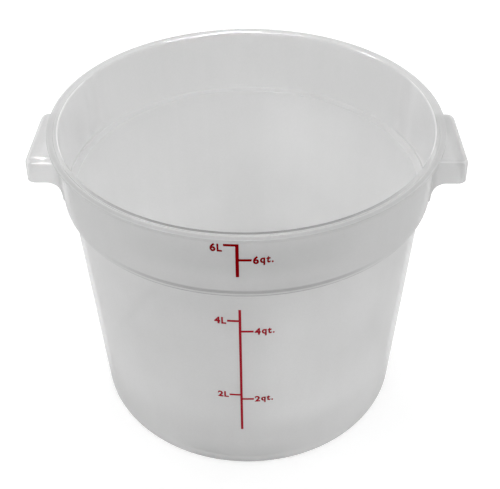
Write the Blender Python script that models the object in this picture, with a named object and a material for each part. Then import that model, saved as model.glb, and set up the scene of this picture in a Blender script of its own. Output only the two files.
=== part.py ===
# Round food storage tub with two ear handles and a printed volume scale.
# Metres, +Z up. The origin is on the table at the tub's axis, the handles lie
# along X, and the printed scale faces -Y.

import math

import bmesh
import bpy
from mathutils import Matrix, Vector

# Body, from the rim down
TUB_HEIGHT = 0.1958
BODY_RADIUS = 0.1101          # outside of the wall just below the rim
WALL = 0.0022
UPPER_DRAFT = 0.0003          # the upper wall draws in this much down to the shoulder
SHOULDER_DEPTH = 0.0392       # rim top to the start of the outer shoulder
SHOULDER_WIDTH = 0.0042       # the step inward from upper to lower wall
SHOULDER_ROUND = 0.0040
SHOULDER_FILLET = 0.0020
SHOULDER_LEAN = math.radians(60)
LOWER_DRAFT = 0.0064          # the lower wall draws in this much down to the table

# Rim flange that a lid snaps over, with a raised lip round the mouth
RIM_OVERHANG = 0.0042
RIM_THICKNESS = 0.0019
RIM_OUTER_ROUND = 0.0013
RIM_UNDER_ROUND = 0.0005
RIM_INNER_ROUND = 0.0010
RIM_FILLET = 0.0008
LIP_RISE = 0.0005             # the lip stands this much above the flange
LIP_WIDTH = 0.0028
LIP_ROUND = 0.00025

# Stacking ledge on the inside of the shoulder, one wall below the shoulder's start
LEDGE_FALL = 0.0009           # the ledge falls this much on its way in
LEDGE_ROUND = 0.0008

# Base: a flat foot ring round a raised panel
BASE_ROUND = 0.0043
FLOOR = 0.0026
FLOOR_ROUND = 0.0030
FOOT_BAND = 0.0192            # foot of the wall to the edge of the raised panel
PANEL_RISE = 0.0016

# Ear handles, hollow and open below
HANDLE_DROP = 0.0137          # rim top down to the flat top of a handle
HANDLE_REACH = 0.0164         # beyond the outside of the wall
HANDLE_WIDTH = 0.0542
HANDLE_SKIRT = 0.0148         # height of the outer wall
HANDLE_WALL = 0.0022
HANDLE_CORNER = 0.0040
LEAST_CORNER_SHARE = 0.25     # of that corner, kept where a wall's thickness uses it up
HANDLE_EDGE_ROUND = 0.0018
HANDLE_FLARE = 0.0010         # the skirt spreads this much down to the gussets' feet
HANDLE_GUSSET = 0.0085        # radius of the curve from the skirt down to the wall
HANDLE_FILLET = 0.0050        # radius where the sides run into the wall

# Printed scale
INK_GAP = 0.0003              # clearance of the ink solids to the faceted wall
INK_THICKNESS = 0.0002
UPPER_PRINT_SHIFT = -0.0030   # the bar above the shoulder stands this far left of the middle
LOWER_PRINT_SHIFT = -0.0023   # and the bar below it
BAR_WIDTH = 0.0015
TICK_THICKNESS = 0.0014
LITRE_TICK_LENGTH = 0.0060
QUART_TICK_LENGTH = 0.0064
DIGIT_HEIGHT = 0.0052
LETTER_GAP = 0.0005
LABEL_GAP = 0.0006            # between a tick and its label
UNIT_RAISE = 0.0006           # the quarts' unit stands this much above their digit's foot
STROKE_BOLDNESS_SHARE = 0.035  # of the letter size
DIGIT_WIDTH_SHARE = 0.92      # digits are drawn a little narrow
UNIT_WIDTH_SHARE = 0.82       # and the letters after them more so
TOP_LABEL_SINK_SHARE = 0.36   # of the digit height, the top label hangs below its tick

# Heights of the marks, as shares of the straight wall that each one stands on
UPPER_BAR_SHARES = (0.315, 0.898)
LOWER_BAR_SHARES = (0.245, 0.935)
UPPER_LITRE_SHARES = {"6": 0.878}
UPPER_QUART_SHARES = {"6": 0.620}
LOWER_LITRE_SHARES = {"4": 0.878, "2": 0.464}
LOWER_QUART_SHARES = {"4": 0.824, "2": 0.439}

# Smoothness
TURN_STEPS = 96
ROUND_STEPS = 4
GUSSET_STEPS = 8
LETTER_STEPS = 3
SHARP_ANGLE = math.radians(35)
CUT_MARGIN = 0.0050           # one overrun for every cutter
MERGE_DISTANCE = 0.000002     # points closer than this are one point

# Values that follow from the sizes above
RIM_RADIUS = BODY_RADIUS + RIM_OVERHANG
UPPER_FOOT_RADIUS = BODY_RADIUS - UPPER_DRAFT
LOWER_TOP_RADIUS = UPPER_FOOT_RADIUS - SHOULDER_WIDTH
BASE_RADIUS = LOWER_TOP_RADIUS - LOWER_DRAFT
PANEL_RADIUS = BASE_RADIUS - FOOT_BAND
SHOULDER_TOP = TUB_HEIGHT - SHOULDER_DEPTH
LEDGE_TOP = SHOULDER_TOP - WALL
FLANGE_TOP = TUB_HEIGHT - LIP_RISE
RIM_UNDERSIDE = FLANGE_TOP - RIM_THICKNESS
HANDLE_TOP = TUB_HEIGHT - HANDLE_DROP
SKIRT_BOTTOM = HANDLE_TOP - HANDLE_SKIRT


def arc(centre, radius, start, end, steps):
    """Points on an arc in the plane of the outline, with both ends."""
    points = []
    for step in range(steps + 1):
        angle = start + (end - start) * step / steps
        points.append((centre[0] + radius * math.cos(angle),
                       centre[1] + radius * math.sin(angle)))
    return points


def shoulder_outline():
    """The outer shoulder, from its foot on the lower wall up to the upper wall."""
    turn = SHOULDER_LEAN
    inward_share = 1 - math.cos(turn)
    inward_in_rounds = (SHOULDER_ROUND + SHOULDER_FILLET) * inward_share
    # both rounds shrink alike where the step is too narrow for them
    fit = min(1, SHOULDER_WIDTH / inward_in_rounds)
    crest_round = SHOULDER_ROUND * fit
    foot_round = SHOULDER_FILLET * fit
    slope_drop = (SHOULDER_WIDTH - inward_in_rounds * fit) / math.tan(turn)
    foot = SHOULDER_TOP - slope_drop - (crest_round + foot_round) * math.sin(turn)
    fillet = arc((LOWER_TOP_RADIUS + foot_round, foot), foot_round,
                 math.pi, math.pi - turn, ROUND_STEPS)
    crest = arc((UPPER_FOOT_RADIUS - crest_round, SHOULDER_TOP), crest_round,
                -turn, 0, ROUND_STEPS)
    return fillet + crest


SHOULDER = shoulder_outline()
SHOULDER_FOOT = SHOULDER[0][1]


def wall_radius(height):
    """Radius of the outside of the wall at a height on one of its straight stretches."""
    if height >= SHOULDER_TOP:
        share = (height - SHOULDER_TOP) / (TUB_HEIGHT - SHOULDER_TOP)
        return UPPER_FOOT_RADIUS + UPPER_DRAFT * share
    share = height / SHOULDER_FOOT
    return BASE_RADIUS + LOWER_DRAFT * share


def tub_outline():
    """Half section of the tub, as a chain from the axis below to the axis inside."""
    foot_inner = PANEL_RADIUS + FLOOR    # the step under the panel is as thick as the floor
    base_arc = arc((wall_radius(BASE_ROUND) - BASE_ROUND, BASE_ROUND), BASE_ROUND,
                   -math.pi / 2, 0, ROUND_STEPS)
    rim_edge = arc((RIM_RADIUS - RIM_UNDER_ROUND, RIM_UNDERSIDE + RIM_UNDER_ROUND),
                   RIM_UNDER_ROUND, -math.pi / 2, 0, ROUND_STEPS // 2)
    rim_crest = arc((RIM_RADIUS - RIM_OUTER_ROUND, FLANGE_TOP - RIM_OUTER_ROUND),
                    RIM_OUTER_ROUND, 0, math.pi / 2, ROUND_STEPS)
    mouth = BODY_RADIUS - WALL
    lip_radius = mouth + LIP_WIDTH
    lip_round = min(LIP_ROUND, LIP_RISE / 2)
    lip = arc((lip_radius + lip_round, FLANGE_TOP + lip_round), lip_round,
              -math.pi / 2, -math.pi, ROUND_STEPS // 2)
    lip += arc((lip_radius - lip_round, TUB_HEIGHT - lip_round), lip_round,
               0, math.pi / 2, ROUND_STEPS // 2)
    rim_inside = arc((mouth + RIM_INNER_ROUND, TUB_HEIGHT - RIM_INNER_ROUND),
                     RIM_INNER_ROUND, math.pi / 2, math.pi, ROUND_STEPS)

    ledge_outer = UPPER_FOOT_RADIUS - WALL
    ledge_inner = LOWER_TOP_RADIUS - WALL
    ledge_corner = arc((ledge_outer - LEDGE_ROUND, LEDGE_TOP + LEDGE_ROUND),
                       LEDGE_ROUND, 0, -math.pi / 2, ROUND_STEPS // 2)
    ledge_edge = arc((ledge_inner + LEDGE_ROUND, LEDGE_TOP - LEDGE_FALL - LEDGE_ROUND),
                     LEDGE_ROUND, math.pi / 2, math.pi, ROUND_STEPS // 2)
    floor_centre = (wall_radius(FLOOR + FLOOR_ROUND) - WALL - FLOOR_ROUND,
                    FLOOR + FLOOR_ROUND)
    floor_arc = arc(floor_centre, FLOOR_ROUND, 0, -math.pi / 2, ROUND_STEPS)

    outline = [(0, PANEL_RISE), (foot_inner - PANEL_RISE, PANEL_RISE), (foot_inner, 0)]
    outline += base_arc
    outline += SHOULDER
    outline += [(BODY_RADIUS, RIM_UNDERSIDE - RIM_FILLET),
                (BODY_RADIUS + RIM_FILLET, RIM_UNDERSIDE)]
    outline += rim_edge + rim_crest + lip + rim_inside
    outline += ledge_corner + ledge_edge
    outline += floor_arc
    outline += [(PANEL_RADIUS + PANEL_RISE, FLOOR), (PANEL_RADIUS, FLOOR + PANEL_RISE),
                (0, FLOOR + PANEL_RISE)]
    return outline


def material(name, colour, roughness, transmission=0.0):
    made = bpy.data.materials.new(name)
    made.use_nodes = True
    shader = made.node_tree.nodes["Principled BSDF"]
    shader.inputs["Base Color"].default_value = (*colour, 1)
    shader.inputs["Roughness"].default_value = roughness
    shader.inputs["Metallic"].default_value = 0
    shader.inputs["Transmission Weight"].default_value = transmission
    return made


def add_object(name, mesh, finish=None):
    made = bpy.data.objects.new(name, mesh)
    bpy.context.scene.collection.objects.link(made)
    if finish:
        mesh.materials.append(finish)
    return made


def mesh_from(bm, name):
    bmesh.ops.recalc_face_normals(bm, faces=bm.faces)
    if bm.calc_volume(signed=True) < 0:
        bmesh.ops.reverse_faces(bm, faces=bm.faces)
    mesh = bpy.data.meshes.new(name)
    bm.to_mesh(mesh)
    bm.free()
    mesh.shade_smooth()
    mesh.set_sharp_from_angle(angle=SHARP_ANGLE)
    return mesh


def as_guide(guide):
    """A shape that only takes part in a Boolean is left out of the model."""
    guide.hide_render = True
    guide.display_type = "WIRE"
    return guide


def boolean(target, other, operation):
    modifier = target.modifiers.new(other.name, "BOOLEAN")
    modifier.operation = operation
    modifier.solver = "EXACT"
    modifier.object = other


def turned_mesh(name, outline, steps):
    """Spin a half section, which starts and ends on the axis, right round it."""
    bm = bmesh.new()
    chain = [bm.verts.new((radius, 0, height)) for radius, height in outline]
    edges = [bm.edges.new(pair) for pair in zip(chain, chain[1:])]
    bmesh.ops.spin(bm, geom=chain + edges, cent=(0, 0, 0), axis=(0, 0, 1),
                   angle=2 * math.pi, steps=steps, use_merge=True)
    bmesh.ops.remove_doubles(bm, verts=bm.verts, dist=MERGE_DISTANCE)
    return mesh_from(bm, name)


def lofted_mesh(name, rings):
    """Skin a stack of level outlines that have the same number of points."""
    bm = bmesh.new()
    levels = [[bm.verts.new(point) for point in ring] for ring in rings]
    bm.faces.new(reversed(levels[0]))
    bm.faces.new(levels[-1])
    for lower, upper in zip(levels, levels[1:]):
        for index in range(len(lower)):
            after = (index + 1) % len(lower)
            bm.faces.new((lower[index], lower[after], upper[after], upper[index]))
    return mesh_from(bm, name)


def handle_plan(inset, inner_radius):
    """Level outline of the +X handle, drawn in by an inset. It starts inside the wall."""
    half = HANDLE_WIDTH / 2 - inset
    outer = BODY_RADIUS + HANDLE_REACH - inset
    corner = max(HANDLE_CORNER - inset, HANDLE_CORNER * LEAST_CORNER_SHARE)
    fillet = HANDLE_FILLET + inset
    centre_y = half + fillet
    centre_x = math.sqrt((BODY_RADIUS + fillet) ** 2 - centre_y ** 2)
    meets_wall = math.atan2(-centre_y, -centre_x) + math.pi
    side = arc((centre_x, centre_y), fillet, math.pi + meets_wall, 1.5 * math.pi, ROUND_STEPS)
    bend = arc((outer - corner, half - corner), corner, math.pi / 2, 0, ROUND_STEPS)
    upper_half = [(inner_radius, side[0][1])] + side + bend
    lower_half = [(x, -y) for x, y in reversed(upper_half)]
    return upper_half + lower_half


def handle_levels(levels, inner_radius):
    """Rings of the +X handle at (inset, height) levels."""
    rings = []
    for inset, height in levels:
        rings.append([(x, y, height) for x, y in handle_plan(inset, inner_radius)])
    return rings


def underside_outline(wall_x):
    """Side view of what is cut away below the skirt and its two gussets."""
    gusset = arc((wall_x + HANDLE_GUSSET, SKIRT_BOTTOM - HANDLE_GUSSET), HANDLE_GUSSET,
                 math.pi / 2, math.pi, GUSSET_STEPS)
    outer = BODY_RADIUS + HANDLE_REACH + CUT_MARGIN
    low = SKIRT_BOTTOM - HANDLE_GUSSET - CUT_MARGIN
    return [(outer, SKIRT_BOTTOM)] + gusset + [(wall_x, low), (outer, low)]


def make_handle(name, turn):
    """A hollow ear handle, as a guide that is united with the tub."""
    half = HANDLE_WIDTH / 2
    wall_x = math.sqrt(BODY_RADIUS ** 2 - half ** 2)
    wall_middle = UPPER_FOOT_RADIUS - WALL / 2
    inner_radius = wall_x - HANDLE_FILLET - CUT_MARGIN
    foot = SKIRT_BOTTOM - HANDLE_GUSSET - HANDLE_WALL

    crown = []
    for step in range(ROUND_STEPS + 1):
        angle = math.pi / 2 * step / ROUND_STEPS
        crown.append((HANDLE_EDGE_ROUND * (1 - math.cos(angle)),
                      HANDLE_TOP - HANDLE_EDGE_ROUND * (1 - math.sin(angle))))
    block_levels = [(-HANDLE_FLARE, foot)] + crown
    block = as_guide(add_object(name, lofted_mesh(name, handle_levels(block_levels, inner_radius))))

    pocket_levels = [(HANDLE_WALL - HANDLE_FLARE, foot - CUT_MARGIN),
                     (HANDLE_WALL, HANDLE_TOP - HANDLE_WALL)]
    pocket_mesh = lofted_mesh(name + "_pocket", handle_levels(pocket_levels, inner_radius - CUT_MARGIN))
    pocket = as_guide(add_object(name + "_pocket", pocket_mesh))

    width = half + HANDLE_FILLET + CUT_MARGIN
    side_view = underside_outline(wall_x)
    ends = [[(x, y, z) for x, z in side_view] for y in (width, -width)]
    underside = as_guide(add_object(name + "_underside", lofted_mesh(name + "_underside", ends)))

    core_outline = [(0, foot - CUT_MARGIN), (wall_middle, foot - CUT_MARGIN),
                    (wall_middle, TUB_HEIGHT), (0, TUB_HEIGHT)]
    core_mesh = turned_mesh(name + "_core", core_outline, TURN_STEPS)
    core = as_guide(add_object(name + "_core", core_mesh))

    for cutter in (underside, pocket, core):
        boolean(block, cutter, "DIFFERENCE")
    for guide in (block, pocket, underside, core):
        guide.rotation_euler = (0, 0, turn)
    return block


def make_tub(finish):
    tub = add_object("tub", turned_mesh("tub", tub_outline(), TURN_STEPS), finish)
    boolean(tub, make_handle("right_handle_form", 0), "UNION")
    boolean(tub, make_handle("left_handle_form", math.pi), "UNION")
    return tub


def on_wall(across, height, lift, reference):
    """A point of the print, at a distance across from the middle of the tub's front."""
    angle = across / wall_radius(reference)
    radius = wall_radius(height) + lift
    return Vector((radius * math.sin(angle), -radius * math.cos(angle), height))


def tangent_frame(across, height, reference):
    """Place and turn of a flat letter on the wall: across, up along the wall, and outwards."""
    middle = on_wall(across, height, 0, reference)
    above = on_wall(across, height + DIGIT_HEIGHT, 0, reference)
    up = (above - middle).normalized()
    angle = across / wall_radius(reference)
    along = Vector((math.cos(angle), math.sin(angle), 0))
    frame = Matrix((along, up, along.cross(up))).transposed().to_4x4()
    frame.translation = middle
    return frame


def thicken_ink(bm, place):
    """Give flat faces the ink's thickness. place says where a point lies at a lift off the wall."""
    flat_verts = list(bm.verts)
    raised = bmesh.ops.extrude_face_region(bm, geom=list(bm.faces))["geom"]
    raised_verts = [item for item in raised if isinstance(item, bmesh.types.BMVert)]
    for verts, lift in ((flat_verts, INK_GAP), (raised_verts, INK_GAP + INK_THICKNESS)):
        for vert in verts:
            vert.co = place(vert.co.x, vert.co.y, lift)
    bmesh.ops.triangulate(bm, faces=bm.faces)


def make_bar(name, shift, low, high, litre_heights, quart_heights, finish):
    """The upright bar with its ticks, litres to the left and quarts to the right."""
    half = BAR_WIDTH / 2
    tick = TICK_THICKNESS / 2
    right = [(half, low)]
    for height in sorted(quart_heights):
        reach = half + QUART_TICK_LENGTH
        right += [(half, height - tick), (reach, height - tick),
                  (reach, height + tick), (half, height + tick)]
    right.append((half, high))
    left = [(-half, high)]
    for height in sorted(litre_heights, reverse=True):
        reach = -half - LITRE_TICK_LENGTH
        top = min(height + tick, high)
        left += [(-half, top), (reach, top), (reach, height - tick), (-half, height - tick)]
    left.append((-half, low))

    outline = []
    for point in right + left:
        if not outline or point != outline[-1]:
            outline.append(point)
    bm = bmesh.new()
    bm.faces.new([bm.verts.new((across, height, 0)) for across, height in outline])
    bm.normal_update()
    bmesh.ops.triangulate(bm, faces=bm.faces, ngon_method="EAR_CLIP")

    def wrapped(across, height, lift):
        return on_wall(shift + across, height, lift, (low + high) / 2)

    thicken_ink(bm, wrapped)
    add_object(name, mesh_from(bm, name), finish)


def letter_faces(letter):
    """Flat faces of one letter, drawn at unit size."""
    text = bpy.data.curves.new("letter", "FONT")
    text.body = letter
    text.size = 1
    text.offset = STROKE_BOLDNESS_SHARE
    text.resolution_u = LETTER_STEPS
    text.fill_mode = "FRONT"
    holder = bpy.data.objects.new("letter", text)
    bpy.context.scene.collection.objects.link(holder)
    bpy.context.view_layer.update()
    flat = bpy.data.meshes.new_from_object(holder.evaluated_get(bpy.context.evaluated_depsgraph_get()))
    bm = bmesh.new()
    bm.from_mesh(flat)
    bmesh.ops.remove_doubles(bm, verts=bm.verts, dist=MERGE_DISTANCE)
    bmesh.ops.beautify_fill(bm, faces=bm.faces, edges=bm.edges)
    bpy.data.objects.remove(holder)
    bpy.data.curves.remove(text)
    bpy.data.meshes.remove(flat)
    return bm


def letter_span(bm, axis):
    values = [vert.co[axis] for vert in bm.verts]
    return min(values), max(values)


def make_label(names, text, shift, side, tick_length, tick_height, raises, finish):
    """Letters in a row past the end of a tick, on the bar's right (1) or left (-1).
    raises gives how far the digit and then its unit stand above the tick's height."""
    digit = letter_faces(text[0])
    low, high = letter_span(digit, 1)
    digit.free()
    scale = DIGIT_HEIGHT / (high - low)
    letters = [letter_faces(letter) for letter in text]
    narrowings = [DIGIT_WIDTH_SHARE] + [UNIT_WIDTH_SHARE] * (len(text) - 1)
    widths = []
    for bm, narrowing in zip(letters, narrowings):
        left, right = letter_span(bm, 0)
        widths.append((right - left) * scale * narrowing)
    length = sum(widths) + LETTER_GAP * (len(letters) - 1)
    near = BAR_WIDTH / 2 + tick_length + LABEL_GAP
    across = shift + (near if side > 0 else -near - length)
    middle = (low + high) / 2
    for index, (name, bm, width) in enumerate(zip(names, letters, widths)):
        centre = sum(letter_span(bm, 0)) / 2
        narrow = Matrix.Diagonal((scale * narrowings[index], scale, 1, 1))
        bmesh.ops.transform(bm, matrix=narrow @ Matrix.Translation((-centre, -middle, 0)),
                            verts=bm.verts)
        thicken_ink(bm, lambda x, y, lift: Vector((x, y, lift)))
        printed = add_object(name, mesh_from(bm, name), finish)
        height = tick_height + raises[min(index, 1)]
        printed.matrix_world = tangent_frame(across + width / 2, height, tick_height)
        across += width + LETTER_GAP


def make_scale(finish):
    """Both printed bars with their labels."""
    stretches = (
        ("scale_bar_upper", UPPER_PRINT_SHIFT, SHOULDER_TOP, RIM_UNDERSIDE,
         UPPER_BAR_SHARES, UPPER_LITRE_SHARES, UPPER_QUART_SHARES),
        ("scale_bar_lower", LOWER_PRINT_SHIFT, 0, SHOULDER_FOOT,
         LOWER_BAR_SHARES, LOWER_LITRE_SHARES, LOWER_QUART_SHARES),
    )
    for name, shift, bottom, top, bar, litres, quarts in stretches:
        length = top - bottom
        low, high = (bottom + length * share for share in bar)
        litre_heights = {digit: bottom + length * share for digit, share in litres.items()}
        quart_heights = {digit: bottom + length * share for digit, share in quarts.items()}
        make_bar(name, shift, low, high, litre_heights.values(), quart_heights.values(), finish)
        for digit, height in litre_heights.items():
            top_label = height + DIGIT_HEIGHT / 2 > high
            raised = -TOP_LABEL_SINK_SHARE * DIGIT_HEIGHT if top_label else 0
            names = (f"litre_{digit}_digit", f"litre_{digit}_letter_l")
            make_label(names, digit + "L", shift, -1, LITRE_TICK_LENGTH, height,
                       (raised, raised), finish)
        for digit, height in quart_heights.items():
            names = (f"quart_{digit}_digit", f"quart_{digit}_letter_q",
                     f"quart_{digit}_letter_t", f"quart_{digit}_point")
            make_label(names, digit + "qt.", shift, 1, QUART_TICK_LENGTH, height,
                       (0, UNIT_RAISE), finish)


def main():
    for old in list(bpy.data.objects):
        bpy.data.objects.remove(old, do_unlink=True)
    plastic = material("frosted plastic", (0.62, 0.62, 0.62), 0.38, 0.5)
    ink = material("red ink", (0.26, 0.004, 0.012), 0.45)
    make_tub(plastic)
    make_scale(ink)


main()
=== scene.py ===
# Round frosted food tub with two ear handles and a printed scale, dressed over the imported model
import math

import bmesh
import bpy
from mathutils import Euler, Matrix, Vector


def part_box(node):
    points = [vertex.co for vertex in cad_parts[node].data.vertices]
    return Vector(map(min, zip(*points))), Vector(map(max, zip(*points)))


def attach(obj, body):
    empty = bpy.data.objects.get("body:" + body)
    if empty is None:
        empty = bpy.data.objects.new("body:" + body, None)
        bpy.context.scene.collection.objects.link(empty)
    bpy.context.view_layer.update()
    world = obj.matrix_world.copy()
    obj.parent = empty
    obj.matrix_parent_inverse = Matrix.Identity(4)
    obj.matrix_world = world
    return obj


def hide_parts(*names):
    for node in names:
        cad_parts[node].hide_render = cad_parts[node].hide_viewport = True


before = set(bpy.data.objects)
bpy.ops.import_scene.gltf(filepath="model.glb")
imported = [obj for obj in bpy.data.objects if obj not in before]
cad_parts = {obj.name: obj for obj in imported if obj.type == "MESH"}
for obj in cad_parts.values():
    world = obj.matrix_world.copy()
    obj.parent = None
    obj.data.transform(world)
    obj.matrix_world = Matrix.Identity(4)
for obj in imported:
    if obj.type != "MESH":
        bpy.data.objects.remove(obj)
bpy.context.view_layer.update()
mm = 0.001
closeTogether = 1e-6      # points nearer than this many units are one point
print("frame loaded,", len(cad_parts), "nodes")


# Camera
camera = {
    "place": (0.00872, -0.43063, 0.453998),
    "turn": (50.4875, 0.3104, 0.6951),      # degrees
    "lens": 61.765,
    "clip": (0.02, 20.0),
}


def setUpCamera():
    data = bpy.data.cameras.new("camera")
    data.lens = camera["lens"]
    data.clip_start, data.clip_end = camera["clip"]
    eye = bpy.data.objects.new("camera", data)
    bpy.context.scene.collection.objects.link(eye)
    eye.location = camera["place"]
    eye.rotation_euler = Euler([math.radians(angle) for angle in camera["turn"]])
    bpy.context.scene.camera = eye


setUpCamera()
print("camera placed")


# Helpers for meshes, which take millimetres
def linkObject(name, mesh):
    made = bpy.data.objects.new(name, mesh)
    bpy.context.scene.collection.objects.link(made)
    return made


def toMesh(bm, name):
    bmesh.ops.recalc_face_normals(bm, faces=bm.faces)
    if bm.calc_volume(signed=True) < 0:
        bmesh.ops.reverse_faces(bm, faces=bm.faces)
    mesh = bpy.data.meshes.new(name)
    bm.to_mesh(mesh)
    bm.free()
    return mesh


def applyModifiers(piece):
    bpy.context.view_layer.update()
    graph = bpy.context.evaluated_depsgraph_get()
    finished = bpy.data.meshes.new_from_object(piece.evaluated_get(graph))
    piece.modifiers.clear()
    piece.data = finished


def combine(target, other, operation):
    step = target.modifiers.new(other.name, "BOOLEAN")
    step.operation = operation
    step.solver = "EXACT"
    step.object = other
    applyModifiers(target)
    bpy.data.objects.remove(other)


def arcPoints(centre, radius, start, end, steps):
    points = []
    for step in range(steps + 1):
        angle = start + (end - start) * step / steps
        points.append((centre[0] + radius * math.cos(angle), centre[1] + radius * math.sin(angle)))
    return points


def roundCorners(corners, degreesPerStep):
    # corners are (across, up, round), and each round becomes an arc that touches both its sides
    points = []
    for index, (across, up, size) in enumerate(corners):
        if size == 0:
            points.append((across, up))
            continue
        here = Vector((across, up))
        before = (Vector(corners[index - 1][:2]) - here).normalized()
        after = (Vector(corners[index + 1][:2]) - here).normalized()
        opening = before.angle(after)
        centre = here + (before + after).normalized() * (size / math.sin(opening / 2))
        first = here + before * (size / math.tan(opening / 2)) - centre
        turn = math.pi - opening
        if before.cross(after) > 0:
            turn = -turn
        steps = max(2, math.ceil(abs(math.degrees(turn)) / degreesPerStep))
        start = math.atan2(first.y, first.x)
        points += arcPoints(centre, size, start, start + turn, steps)
    return points


def turnedMesh(name, outline, steps):
    bm = bmesh.new()
    chain = [bm.verts.new((r * mm, 0, z * mm)) for r, z in outline]
    edges = [bm.edges.new(pair) for pair in zip(chain, chain[1:])]
    bmesh.ops.spin(bm, geom=chain + edges, cent=(0, 0, 0), axis=(0, 0, 1),
                   angle=2 * math.pi, steps=steps, use_merge=True)
    bmesh.ops.remove_doubles(bm, verts=bm.verts, dist=closeTogether)
    return toMesh(bm, name)


def loftedMesh(name, rings):
    bm = bmesh.new()
    levels = [[bm.verts.new(Vector(point) * mm) for point in ring] for ring in rings]
    bm.faces.new(reversed(levels[0]))
    bm.faces.new(levels[-1])
    for lower, upper in zip(levels, levels[1:]):
        for index in range(len(lower)):
            after = (index + 1) % len(lower)
            bm.faces.new((lower[index], lower[after], upper[after], upper[index]))
    return toMesh(bm, name)


# Tub
tub = {
    "height": 195.8, "wall": 2.2, "floor": 2.6,
    "mouth": 107.9,
    "lip": (110.7, 0.5),                     # outer radius, and rise over the flange
    "rim": (114.3, 1.9),                     # radius and thickness of the flange
    "upperWall": (110.1, 109.8),             # outside radius under the rim and at the shoulder
    "shoulder": (154.29, 151.87),            # heights where it leans in
    "lowerWall": (105.6, 99.2),              # outside radius under the shoulder and at the table
    "ledge": (154.4, 153.5),                 # heights of its outer and inner edge
    "panel": (80.0, 1.6),                    # radius and rise of the floor's middle
    "steps": 288, "degreesPerStep": 9, "sharpDegrees": 40,
    # radii of the rounded corners
    "rounds": {
        "panelBelow": 0.8, "footRing": 0.5, "foot": 4.3, "shoulderBelow": 2.0, "shoulder": 4.0,
        "flangeRoot": 0.8, "flangeBelow": 0.4, "flangeAbove": 0.35, "lip": 0.24, "mouth": 0.9,
        "ledge": 0.45, "floor": 3.0, "panel": 0.6,
    },
}

handle = {
    "top": 182.1, "reach": 126.5, "width": 54.2, "skirt": 14.8, "wall": 2.2,
    "corner": 5.0, "crown": 4.0, "flare": 1.0, "gusset": 8.5, "fillet": 5.0,
    "leastCorner": 1.0, "edgeRound": 0.9, "edgeSteps": 4, "edgeDegrees": 50,
    "cornerSteps": 10, "crownSteps": 8, "gussetSteps": 20,
    "overrun": 5.0,           # how far the cutting bodies reach past what they cut
}


def tubOutline():
    top, wall, floor = tub["height"], tub["wall"], tub["floor"]
    mouth = tub["mouth"]
    lip, rise = tub["lip"]
    rim, thick = tub["rim"]
    under, crest = tub["upperWall"]
    lean, foot = tub["shoulder"]
    lower, base = tub["lowerWall"]
    ledgeOut, ledgeIn = tub["ledge"]
    panel, lift = tub["panel"]
    flange = top - rise
    size = tub["rounds"]
    corners = [
        (0, lift, 0),
        (panel + floor - lift, lift, size["panelBelow"]),
        (panel + floor, 0, size["footRing"]),
        (base, 0, size["foot"]),
        (lower, foot, size["shoulderBelow"]),
        (crest, lean, size["shoulder"]),
        (under, flange - thick, size["flangeRoot"]),
        (rim, flange - thick, size["flangeBelow"]),
        (rim, flange, size["flangeAbove"]),
        (lip, flange, size["lip"]),
        (lip, top, size["lip"]),
        (mouth, top, size["mouth"]),
        (crest - wall, ledgeOut, size["ledge"]),
        (lower - wall, ledgeIn, size["ledge"]),
        (base - wall, floor, size["floor"]),
        (panel + lift, floor, size["panel"]),
        (panel, floor + lift, size["panel"]),
        (0, floor + lift, 0),
    ]
    return roundCorners(corners, tub["degreesPerStep"])


def handlePlan(inset, inner):
    # level outline of the right handle, drawn in by an inset, closed inside the wall
    under = tub["upperWall"][0]
    steps = handle["cornerSteps"]
    half = handle["width"] / 2 - inset
    outer = handle["reach"] - inset
    corner = max(handle["corner"] - inset, handle["leastCorner"])
    fillet = handle["fillet"] + inset
    centreY = half + fillet
    centreX = math.sqrt((under + fillet) ** 2 - centreY ** 2)
    meets = math.atan2(centreY, centreX)
    side = arcPoints((centreX, centreY), fillet, math.pi + meets, 1.5 * math.pi, steps)
    bend = arcPoints((outer - corner, half - corner), corner, math.pi / 2, 0, steps)
    upperHalf = [(inner, side[0][1])] + side + bend
    return upperHalf + [(x, -y) for x, y in reversed(upperHalf)]


def handleRings(levels, inner):
    return [[(x, y, height) for x, y in handlePlan(inset, inner)] for inset, height in levels]


def makeHandle(name, turn):
    # hollow and open below, with gussets that run down to the wall
    top, thick, past = handle["top"], handle["wall"], handle["overrun"]
    low = top - handle["skirt"]
    foot = low - handle["gusset"] - thick
    half = handle["width"] / 2
    wallX = math.sqrt(tub["upperWall"][0] ** 2 - half ** 2)
    inner = wallX - handle["fillet"] - past
    crown = handle["crown"]
    crownArc = arcPoints((crown, top - crown), crown, math.pi, math.pi / 2, handle["crownSteps"])
    levels = [(-handle["flare"], foot)] + crownArc          # each is an inset and a height
    shell = linkObject(name, loftedMesh(name, handleRings(levels, inner)))

    pocketLevels = [(thick - handle["flare"], foot - past), (thick, top - thick)]
    pocket = linkObject("pocket", loftedMesh("pocket", handleRings(pocketLevels, inner - past)))
    reach, width = handle["reach"] + past, half + handle["fillet"] + past
    gusset = arcPoints((wallX + handle["gusset"], low - handle["gusset"]), handle["gusset"],
                       math.pi / 2, math.pi, handle["gussetSteps"])
    side = [(reach, low)] + gusset + [(wallX, foot - past), (reach, foot - past)]
    ends = [[(x, y, z) for x, z in side] for y in (width, -width)]
    underside = linkObject("underside", loftedMesh("underside", ends))
    middle = tub["upperWall"][1] - tub["wall"] / 2
    coreOutline = [(0, foot - past), (middle, foot - past), (middle, tub["height"]), (0, tub["height"])]
    core = linkObject("core", turnedMesh("core", coreOutline, tub["steps"]))
    for cutter in (underside, pocket, core):
        combine(shell, cutter, "DIFFERENCE")
    edge = shell.modifiers.new("edge", "BEVEL")
    edge.width = handle["edgeRound"] * mm
    edge.segments = handle["edgeSteps"]
    edge.angle_limit = math.radians(handle["edgeDegrees"])
    applyModifiers(shell)
    shell.data.transform(Euler((0, 0, turn)).to_matrix().to_4x4())
    return shell


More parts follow.
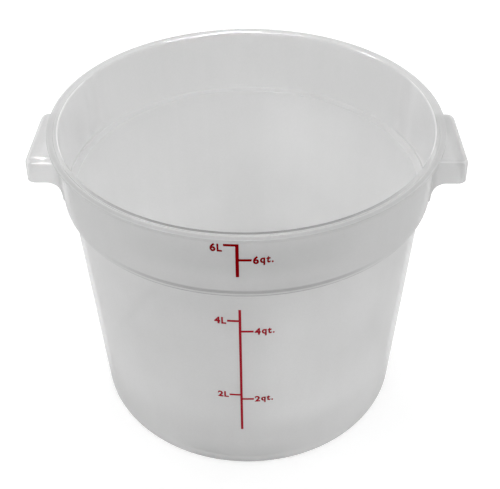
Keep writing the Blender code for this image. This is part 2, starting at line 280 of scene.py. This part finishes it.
def makeTub():
    body = linkObject("moulded_tub", turnedMesh("moulded_tub", tubOutline(), tub["steps"]))
    combine(body, makeHandle("handle", 0), "UNION")
    combine(body, makeHandle("handle", math.pi), "UNION")
    body.data.shade_smooth()
    body.data.set_sharp_from_angle(angle=math.radians(tub["sharpDegrees"]))
    normals = body.modifiers.new("normals", "WEIGHTED_NORMAL")
    normals.weight = 100
    normals.keep_sharp = True
    applyModifiers(body)
    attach(body, "root")
    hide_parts("tub")
    return body


# Nodes of the materials
def addNode(tree, kind, sets=None, **links):
    # sets are the node's own settings; links are its inputs, each a number or another node's output
    made = tree.nodes.new(kind)
    for name, value in (sets or {}).items():
        setattr(made, name, value)
    for name, value in links.items():
        socket = made.inputs[int(name[1:])] if name[0] == "i" and name[1:].isdigit() else made.inputs[name]
        if isinstance(value, bpy.types.NodeSocket):
            tree.links.new(value, socket)
        else:
            socket.default_value = value
    return made


def startMaterial(name):
    made = bpy.data.materials.new(name)
    made.use_nodes = True
    tree = made.node_tree
    return made, tree, tree.nodes["Principled BSDF"]


def placeInMm(tree):
    metres = addNode(tree, "ShaderNodeTexCoord").outputs["Object"]
    return addNode(tree, "ShaderNodeVectorMath", {"operation": "SCALE"},
                   i0=metres, Scale=1 / mm).outputs[0]


def calculate(tree, operation, first, second=0.0, third=0.0):
    return addNode(tree, "ShaderNodeMath", {"operation": operation},
                   i0=first, i1=second, i2=third).outputs[0]


plastic = {
    "grey": 0.765, "specular": 0.0, "coat": 0.6, "coatRoughness": 0.06,
    "seeThrough": 0.40,       # share of a surface that shows what is behind it
    "litBehind": 0.40,        # share of the rest that is lit from behind
    "webLess": (0.85, 0.80),  # how much of those two the wall loses in front of a handle's hollow
    # noises that shade it: size in mm, strength, detail and stretch
    "speckles": {
        "cloud": (55.0, 0.05, 3.0, (1, 1, 1)),
        "grain": (1.2, 0.03, 2.0, (1, 1, 1)),
        "flow": (9.0, 0.02, 2.0, (1, 1, 0.12)),
    },
    "roughness": (0.32, 0.48),
    "scuffs": (14.0, 4.0),                   # size in mm, and detail
    "ripple": (16.0, 1.0, (1, 1, 0.4)),      # size in mm, detail and stretch
    "rippleStrength": 0.12, "rippleDepth": 0.0004,
}

# Where the surfaces and the zones lie, in mm. A limit with two numbers fades in from the first to the
# second, and one with three is a band between the first two whose edges are as soft as the third.
shoulderTop = tub["shoulder"][0] + 2
shoulderFoot = tub["shoulder"][1]
flangeTop = tub["height"] - tub["lip"][1]
flangeUnder = flangeTop - tub["rim"][1]
surfaces = {
    "lower": (("offMiddle", -0.3, 0.3), ("z", shoulderFoot, shoulderFoot - 1)),
    "upperAndRim": (("radius", 108.5, 109.1), ("z", 153.0, 154.0)),
    "upper": (("radius", 108.5, 109.1), ("z", 153.0, 154.0), ("radius", 112.5, 110.6)),
    "handles": (("radius", 111.0, 113.0), ("z", 150.0, 184.0, 1.0)),
    "pocket": (("sideways", 125.4, 125.0), ("deep", 26.4, 26.0), ("z", 181.4, 181.0),
               ("radius", 108.8, 109.2)),
    "web": (("sideways", 84.0, 96.0), ("deep", 54.0, 34.0), ("z", 154.6, 157.6),
            ("radius", 109.0, 108.4)),
}

# Painted light and shade: these zones stand in for how light falls on and through the plastic, with painted
# on the walls and inside, and painted light in the handles' hollows and on the wall in front of them.
# shadow under the rim, painted dark lines at the shoulder, lip, flange and foot, lighter and darker patches
# Each zone has its shade, how much lighter or darker it is than the rest, its surface and its limits
paintedLightAndShade = {
    "upperWall": (-0.05, "upper", ("z", shoulderTop, flangeUnder, 0.8)),
    "underRim": (-0.13, "upper", ("z", 170.0, 188.0, 6.0), ("front", 0.78, 1.0)),
    "underFlange": (0.05, "upper", ("z", 189.5, 192.5)),
    "shoulder": (-0.52, "upper", ("z", 156.5, 158.7, 0.6), ("front", 0.72, 1.0)),
    "fillet": (-0.46, "upper", ("z", 153.6, 155.6, 0.4), ("front", 0.70, 1.02)),
    "lip": (-0.55, "all", ("radius", 107.3, 110.2, 0.3), ("z", 193.8, 194.4), ("front", 0.5, 1.0)),
    "flange": (-0.16, "all", ("radius", 111.5, 113.4, 0.3), ("z", flangeTop - 0.4, flangeTop),
               ("front", 0.1, 0.8)),
    "flangeEdge": (-0.12, "all", ("radius", 113.0, 113.5), ("z", 193.0, 193.4), ("front", 0.5, 1.0)),
    "lowerWall": (0.165, "lower", ("z", 14.0, 60.0)),
    "underShoulder": (-0.07, "lower", ("z", 115.0, 145.0)),
    "panel": (0.09, "lower", ("x", 12.0, 72.0, 14.0), ("z", 40.0, 150.0, 10.0)),
    "middle": (-0.06, "lower", ("x", -70.0, 12.0, 25.0)),
    "nearFoot": (0.10, "lower", ("z", 120.0, 30.0)),
    "middleFoot": (-0.24, "lower", ("x", -34.0, 26.0, 16.0), ("z", 26.0, 2.0)),
    "rightFoot": (0.08, "lower", ("x", 20.0, 60.0), ("z", 60.0, 20.0)),
    "foot": (-0.40, "all", ("z", 2.6, 0.8), ("radius", 92.0, 95.0)),
    "inside": (-0.01, "inside"),
    "deepInside": (-0.11, "inside", ("z", 120.0, 60.0), ("x", -30.0, 75.0, 30.0)),
    "leftHandle": (0.06, "handles", ("x", 1.0, -1.0)),
    "rightHandle": (-0.04, "handles", ("x", -1.0, 1.0)),
    "pocket": (0.20, "pocket"),
    "leftWeb": (0.30, "web", ("x", 1.0, -1.0)),
    "rightWeb": (0.24, "web", ("x", -1.0, 1.0)),
}


def ramp(tree, value, low, high):
    # 0 up to low and 1 from high on, and the other way round where low is the higher
    return addNode(tree, "ShaderNodeMapRange", {"interpolation_type": "SMOOTHSTEP"},
                   i0=value, i1=low, i2=high).outputs[0]


def band(tree, value, low, high, soft):
    # 1 where the value lies between low and high, with soft edges
    return calculate(tree, "SUBTRACT", ramp(tree, value, low - soft, low + soft),
                     ramp(tree, value, high - soft, high + soft))


def product(tree, first, *others):
    for other in others:
        first = calculate(tree, "MULTIPLY", first, other)
    return first


def limited(tree, measures, limits, start=1.0):
    # 1 where every limit holds
    for name, low, high, *soft in limits:
        edge = band if soft else ramp
        start = product(tree, start, edge(tree, measures[name], low, high, *soft))
    return start


def noise(tree, place, size, detail, stretch=(1, 1, 1)):
    if stretch != (1, 1, 1):
        place = addNode(tree, "ShaderNodeMapping", Vector=place, Scale=stretch).outputs[0]
    return addNode(tree, "ShaderNodeTexNoise", Vector=place, Scale=1 / size, Detail=detail).outputs[0]


def measure(tree, x, y, z):
    # what the limits are given in; front is 1 on the side that faces the camera, and -1 behind
    radius = calculate(tree, "SQRT", calculate(tree, "MULTIPLY_ADD", x, x, product(tree, y, y)))
    upper, foot = tub["lowerWall"]
    slope = (upper - foot) / shoulderFoot
    wallMiddle = calculate(tree, "MULTIPLY_ADD", z, slope, foot - tub["wall"] / 2)
    return {
        "x": x, "z": z, "radius": radius,
        "sideways": calculate(tree, "ABSOLUTE", x),
        "deep": calculate(tree, "ABSOLUTE", y),
        "front": calculate(tree, "DIVIDE", calculate(tree, "MULTIPLY", y, -1.0), radius),
        "offMiddle": calculate(tree, "SUBTRACT", radius, wallMiddle),
    }


# multiplies together the painted light and shade of every zone
def paintLightAndShade(tree, measures, masks):
    masks["all"] = 1.0
    masks["inside"] = calculate(tree, "SUBTRACT", 1.0,
                                calculate(tree, "MAXIMUM", masks["lower"], masks["upperAndRim"]))
    shade = 1.0
    for strength, surface, *limits in paintedLightAndShade.values():
        mask = limited(tree, measures, limits, masks[surface])
        shade = product(tree, calculate(tree, "MULTIPLY_ADD", mask, strength, 1.0), shade)
    return shade


def makePlastic():
    made, tree, shader = startMaterial("frosted_plastic")
    place = placeInMm(tree)
    measures = measure(tree, *addNode(tree, "ShaderNodeSeparateXYZ", i0=place).outputs)
    masks = {name: limited(tree, measures, limits) for name, limits in surfaces.items()}

    # painted light and shade of the zones; the speckles after it are the plastic's own cloudy tone
    shade = paintLightAndShade(tree, measures, masks)
    for size, strength, detail, stretch in plastic["speckles"].values():
        speckle = noise(tree, place, size, detail, stretch)
        shade = product(tree, calculate(tree, "MULTIPLY_ADD", speckle, 2 * strength, 1 - strength), shade)
    grey = calculate(tree, "MULTIPLY", shade, plastic["grey"])
    colour = addNode(tree, "ShaderNodeCombineXYZ", i0=grey, i1=grey, i2=grey).outputs[0]
    tree.links.new(colour, shader.inputs["Base Color"])

    smooth, rough = plastic["roughness"]
    scuffs = noise(tree, place, *plastic["scuffs"])
    roughness = calculate(tree, "MULTIPLY_ADD", scuffs, rough - smooth, smooth)
    tree.links.new(roughness, shader.inputs["Roughness"])
    waves = noise(tree, place, *plastic["ripple"])
    ripple = addNode(tree, "ShaderNodeBump", Strength=plastic["rippleStrength"],
                     Distance=plastic["rippleDepth"], Height=waves).outputs[0]
    tree.links.new(ripple, shader.inputs["Normal"])
    shader.inputs["Specular IOR Level"].default_value = plastic["specular"]
    shader.inputs["Coat Weight"].default_value = plastic["coat"]
    shader.inputs["Coat Roughness"].default_value = plastic["coatRoughness"]

    # the wall in front of a handle's hollow is as milky as the handle itself
    clearHere, behindHere = [
        calculate(tree, "MULTIPLY_ADD", masks["web"], -less * share, share)
        for less, share in zip(plastic["webLess"], (plastic["seeThrough"], plastic["litBehind"]))]
    behind = addNode(tree, "ShaderNodeBsdfTranslucent", Color=colour)
    clear = addNode(tree, "ShaderNodeBsdfTransparent")
    milky = addNode(tree, "ShaderNodeMixShader", i0=behindHere, i1=shader.outputs[0], i2=behind.outputs[0])
    whole = addNode(tree, "ShaderNodeMixShader", i0=clearHere, i1=milky.outputs[0], i2=clear.outputs[0])
    tree.links.new(whole.outputs[0], tree.nodes["Material Output"].inputs["Surface"])
    return made


body = makeTub()
body.data.materials.clear()
body.data.materials.append(makePlastic())
print("tub made,", len(body.data.polygons), "faces")


# Printed scale, laid on the wall where the model's ink stands
scale = {
    "middle": {"scale_bar_upper": -3.0, "scale_bar_lower": -2.3},     # of each bar, along the wall
    "bar": {"scale_bar_upper": 1.75, "scale_bar_lower": 1.45}, "tick": 1.5,
    "topSink": 1.87,                          # how far the top tick stands over its label's middle
    "sunk": 0.02, "proud": 0.05,              # the ink's faces below and above the wall's surface
    "bold": 0.042, "letterSteps": 7,
    "stripe": 0.5, "stripedTo": 8.0, "stripeSnap": 1e-4,       # cuts that let a bar bend round the wall
}
letters = {"digit": None, "letter_l": "L", "letter_q": "q", "letter_t": "t", "point": "."}

ink = {
    "upper": (0.245, 0.0, 0.0025), "lower": (0.385, 0.015, 0.027),
    "changes": (150.0, 158.0),                # heights between which one colour fades into the other
    "patches": (2.5, 3.0), "patchLimits": (0.35, 0.75),        # size in mm and detail
    "thin": 0.16, "roughness": 0.50, "rougher": 0.15, "specular": 0.0,
}


def wallRadius(height):
    lean, foot = tub["shoulder"]
    if height > lean:
        under, crest = tub["upperWall"]
        return crest + (under - crest) * (height - lean) / (tub["height"] - lean)
    lower, base = tub["lowerWall"]
    return base + (lower - base) * height / foot


def boxOf(node):
    low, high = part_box(node)
    return [value / mm for value in low], [value / mm for value in high]


def layOnWall(bm, name, spread):
    # spread says where a flat point goes: its place across, seen from the front, and its height
    bmesh.ops.remove_doubles(bm, verts=bm.verts, dist=closeTogether)
    below = list(bm.verts)
    raised = bmesh.ops.extrude_face_region(bm, geom=list(bm.faces))["geom"]
    above = [item for item in raised if isinstance(item, bmesh.types.BMVert)]
    for verts, lift in ((below, -scale["sunk"]), (above, scale["proud"])):
        for vert in verts:
            across, height = spread(vert.co.x, vert.co.y)
            reach = wallRadius(height) + lift
            vert.co = Vector((across, -math.sqrt(reach * reach - across * across), height)) * mm
    piece = linkObject("ink_" + name, toMesh(bm, "ink_" + name))
    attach(piece, "root")
    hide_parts(name)
    piece.data.materials.append(redInk)


def flatLetter(letter):
    text = bpy.data.curves.new("letter", "FONT")
    text.body = letter
    text.offset = scale["bold"]
    text.resolution_u = scale["letterSteps"]
    text.fill_mode = "FRONT"
    holder = linkObject("letter", text)
    bpy.context.view_layer.update()
    flat = bpy.data.meshes.new_from_object(holder.evaluated_get(bpy.context.evaluated_depsgraph_get()))
    bm = bmesh.new()
    bm.from_mesh(flat)
    bpy.data.objects.remove(holder)
    bpy.data.curves.remove(text)
    bpy.data.meshes.remove(flat)
    return bm


def printLetter(node, letter):
    low, high = boxOf(node)
    bm = flatLetter(letter)
    left, right = min(v.co.x for v in bm.verts), max(v.co.x for v in bm.verts)
    bottom, top = min(v.co.y for v in bm.verts), max(v.co.y for v in bm.verts)

    def spread(across, up):
        return (low[0] + (high[0] - low[0]) * (across - left) / (right - left),
                low[2] + (high[2] - low[2]) * (up - bottom) / (top - bottom))

    layOnWall(bm, node, spread)


def printBar(node, digits):
    low, high = boxOf(node)
    half, tick = scale["bar"][node] / 2, scale["tick"] / 2
    bottom, top = low[2], high[2]
    turn = scale["middle"][node] / wallRadius((bottom + top) / 2)

    def tickHeight(side, digit):
        digitLow, digitHigh = boxOf(f"{side}_{digit}_digit")
        middle = (digitLow[2] + digitHigh[2]) / 2
        return middle + (scale["topSink"] if side + digit == "litre6" else 0)

    def tickEnd(side, height):
        # the box's side is the longest tick's end, seen from the front
        edge = high[0] if side > 0 else low[0]
        return edge - wallRadius(height) * math.sin(turn)

    outline = [(half, bottom)]
    for digit in digits:
        height = tickHeight("quart", digit)
        end = tickEnd(1, height)
        outline += [(half, height - tick), (end, height - tick), (end, height + tick), (half, height + tick)]
    outline += [(half, top), (-half, top)]
    for digit in reversed(digits):
        height = tickHeight("litre", digit)
        end, upper = tickEnd(-1, height), min(height + tick, top)
        if upper == top:
            outline.pop()
        else:
            outline.append((-half, upper))
        outline += [(end, upper), (end, height - tick), (-half, height - tick)]
    outline.append((-half, bottom))
    bm = bmesh.new()
    bm.faces.new([bm.verts.new((across, height, 0)) for across, height in outline])
    steps = math.ceil(scale["stripedTo"] / scale["stripe"])
    for step in range(-steps, steps + 1):
        bmesh.ops.bisect_plane(bm, geom=bm.verts[:] + bm.edges[:] + bm.faces[:], dist=scale["stripeSnap"],
                               plane_co=(step * scale["stripe"], 0, 0), plane_no=(1, 0, 0))
    layOnWall(bm, node, lambda across, height: (wallRadius(height) * math.sin(turn) + across, height))


def makeInk():
    # screen print: a little thinner in patches, and lighter below the shoulder
    made, tree, shader = startMaterial("red_ink")
    place = placeInMm(tree)
    z = addNode(tree, "ShaderNodeSeparateXYZ", i0=place).outputs["Z"]
    patches = ramp(tree, noise(tree, place, *ink["patches"]), *ink["patchLimits"])
    thin = calculate(tree, "MULTIPLY_ADD", patches, ink["thin"], 1.0)
    mixed = addNode(tree, "ShaderNodeMix", {"data_type": "RGBA"}, i0=ramp(tree, z, *ink["changes"]),
                    i6=(*ink["lower"], 1), i7=(*ink["upper"], 1)).outputs[2]
    colour = addNode(tree, "ShaderNodeVectorMath", {"operation": "SCALE"}, i0=mixed, Scale=thin).outputs[0]
    tree.links.new(colour, shader.inputs["Base Color"])
    rough = calculate(tree, "MULTIPLY_ADD", patches, ink["rougher"], ink["roughness"])
    tree.links.new(rough, shader.inputs["Roughness"])
    shader.inputs["Specular IOR Level"].default_value = ink["specular"]
    return made


redInk = makeInk()
printBar("scale_bar_upper", "6")
printBar("scale_bar_lower", "24")
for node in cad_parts:
    side, _, rest = node.partition("_")
    digit, _, kind = rest.partition("_")
    if side in ("litre", "quart"):
        printLetter(node, letters[kind] or digit)
print("scale printed")


# Floor, world and lamps
studio = {
    "floorSize": 6.0, "floorColour": 0.72, "floorRoughness": 0.9,
    "floorGlow": 0.50,        # added where the floor is seen, so that it is white but keeps the shadow
    "world": 0.72,            # light on the tub; the white seen behind it has strength 1
    "lamps": {
        "overhead": {"toward": (0.0, 0.35, 0.93), "size": 0.6, "power": 2.6},
        "side": {"toward": (-0.75, -0.25, 0.6), "size": 0.5, "power": 0.8},
        # these three only make the bright lines on the edges
        "glintAbove": {"toward": (0.0, 0.45, 0.89), "size": 0.30, "power": 130.0, "glossOnly": True},
        "glintLeft": {"toward": (-0.27, 0.43, 0.86), "size": 0.20, "power": 70.0, "glossOnly": True},
        "glintFront": {"toward": (-0.25, -0.87, 0.42), "size": 0.26, "power": 30.0, "glossOnly": True},
    },
    "away": 1.3,              # metres from the tub's middle
}


def seenDirectly(tree):
    # 1 for what the camera, a reflection or a look through clear material meets
    path = addNode(tree, "ShaderNodeLightPath")
    seen = calculate(tree, "MAXIMUM", path.outputs["Is Camera Ray"], path.outputs["Is Glossy Ray"])
    return calculate(tree, "MAXIMUM", seen, path.outputs["Is Transmission Ray"])


def makeFloor():
    bm = bmesh.new()
    bmesh.ops.create_grid(bm, x_segments=1, y_segments=1, size=studio["floorSize"] / 2)
    floor = linkObject("floor", toMesh(bm, "floor"))
    made, tree, shader = startMaterial("pale_paper")
    shader.inputs["Base Color"].default_value = (*[studio["floorColour"]] * 3, 1)
    shader.inputs["Roughness"].default_value = studio["floorRoughness"]
    shader.inputs["Specular IOR Level"].default_value = 0.0
    shader.inputs["Emission Color"].default_value = (1, 1, 1, 1)
    glow = calculate(tree, "MULTIPLY", seenDirectly(tree), studio["floorGlow"])
    tree.links.new(glow, shader.inputs["Emission Strength"])
    floor.data.materials.append(made)


def makeWorld():
    world = bpy.data.worlds.new("studio")
    bpy.context.scene.world = world
    world.use_nodes = True
    tree = world.node_tree
    background = tree.nodes["Background"]
    background.inputs["Color"].default_value = (1, 1, 1, 1)
    strength = addNode(tree, "ShaderNodeMapRange", i0=seenDirectly(tree), i3=studio["world"], i4=1.0)
    tree.links.new(strength.outputs[0], background.inputs["Strength"])


def makeLamp(name, facts):
    toward = Vector(facts["toward"]).normalized()
    data = bpy.data.lights.new(name, "AREA")
    data.shape = "DISK"
    data.size = facts["size"]
    data.energy = facts["power"]
    lamp = linkObject(name, data)
    lamp.location = Vector((0, 0, tub["height"] / 2 * mm)) + toward * studio["away"]
    lamp.rotation_euler = toward.to_track_quat("Z", "Y").to_euler()
    lamp.visible_diffuse = lamp.visible_transmission = not facts.get("glossOnly", False)


makeFloor()
makeWorld()
for name, facts in studio["lamps"].items():
    makeLamp(name, facts)
bpy.context.scene.view_settings.view_transform = "Standard"
print("studio made")
